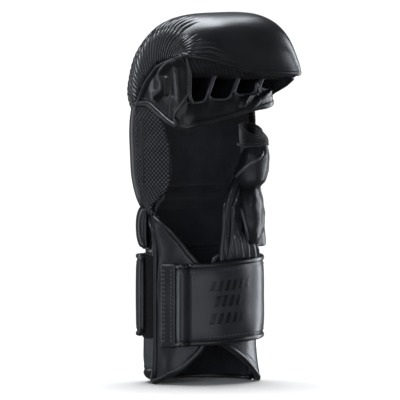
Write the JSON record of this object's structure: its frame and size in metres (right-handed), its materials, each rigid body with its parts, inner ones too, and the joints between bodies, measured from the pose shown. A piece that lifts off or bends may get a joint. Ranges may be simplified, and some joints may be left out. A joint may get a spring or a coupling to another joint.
{
  "type": "open-palm sparring glove",
  "caption": "Right-hand open-palm sparring glove with a padded back and knuckles, finger slots, a padded thumb and a wrap-around wrist strap.",
  "frame": {"origin": "centre of the wrist opening, in the plane the cuff stands on", "axes": "+Z from the cuff to the fingertips, -Y the palm side, +X the thumb side"},
  "size_m": [0.104, 0.1046, 0.2695],
  "materials": {
    "leather": "smooth synthetic leather, semi-gloss",
    "panel_leather": "grained synthetic leather, satin",
    "perforated": "perforated leather, satin",
    "lining": "fine ribbed polyester, matt",
    "binding": "woven tape, matt",
    "foam": "closed-cell foam, matt",
    "elastic": "coarse woven elastic, matt",
    "loop": "loop pile, matt",
    "hook": "moulded hooks, matt",
    "strap_leather": "synthetic leather, semi-gloss"
  },
  "bodies": {
    "hand_and_cuff": {"cuff_lining": "lining", "cuff_foam": "foam", "cuff_shell": "perforated", "cuff_hem": "binding", "loop_patch": "loop", "flap_little": "panel_leather", "flap_little_binding": "binding", "flap_thumb": "panel_leather", "flap_thumb_binding": "binding", "strap_anchor": "strap_leather", "strap_front": "strap_leather", "strap_front_bindings": "binding", "back_cover": "leather", "back_foam": "foam", "back_lining": "lining", "gusset_little": "perforated", "gusset_index": "perforated", "wrist_pad_cover": "leather", "wrist_pad_foam": "foam", "wrist_lining": "lining", "thenar_panel": "panel_leather", "thenar_panel_binding": "binding"},
    "strap_side_stretch": {"strap_side": "strap_leather", "strap_side_bindings": "binding"},
    "strap_end_stretch": {"strap_end": "strap_leather", "strap_end_bindings": "binding", "hook_patch": "hook"},
    "finger_section": {"knuckle_cover": "leather", "knuckle_foam": "foam", "knuckle_lining": "perforated", "side_panel_little": "panel_leather", "side_panel_index": "panel_leather", "palm_band": "panel_leather", "palm_band_binding": "binding", "finger_rim_binding": "binding", "finger_divider_1": "panel_leather", "finger_divider_2": "panel_leather", "finger_divider_3": "panel_leather"},
    "thumb_lower": {"thumb_base_cover": "leather", "thumb_base_foam": "foam", "thumb_base_lining": "lining"},
    "thumb_upper": {"thumb_tip_cover": "leather", "thumb_tip_foam": "foam", "thumb_tip_lining": "lining", "thumb_loop": "elastic"}
  },
  "joints": [
    {"name": "strap_side_peel", "type": "hinge", "parent": "hand_and_cuff", "child": "strap_side_stretch", "pos_m": [0.04508, -0.01776, 0.06], "axis": [0, 0, -1], "range_deg": [0, 60]},
    {"name": "strap_end_peel", "type": "hinge", "parent": "strap_side_stretch", "child": "strap_end_stretch", "pos_m": [0.02488, 0.03621, 0.06], "axis": [0, 0, -1], "range_deg": [0, 100]},
    {"name": "knuckle_flex", "type": "hinge", "parent": "hand_and_cuff", "child": "finger_section", "pos_m": [0, 0.022, 0.1965], "axis": [-1, 0, 0], "range_deg": [0, 25], "stiffness_Nm_per_rad": 0.6},
    {"name": "thumb_swing", "type": "hinge", "parent": "hand_and_cuff", "child": "thumb_lower", "pos_m": [0.0315, -0.019, 0.104], "axis": [0.6157, 0.788, 0], "range_deg": [0, 25], "stiffness_Nm_per_rad": 0.4},
    {"name": "thumb_bend", "type": "hinge", "parent": "thumb_lower", "child": "thumb_upper", "pos_m": [0.02055, -0.01044, 0.136], "axis": [-0.6157, -0.788, 0], "range_deg": [0, 25], "stiffness_Nm_per_rad": 0.4}
  ]
}
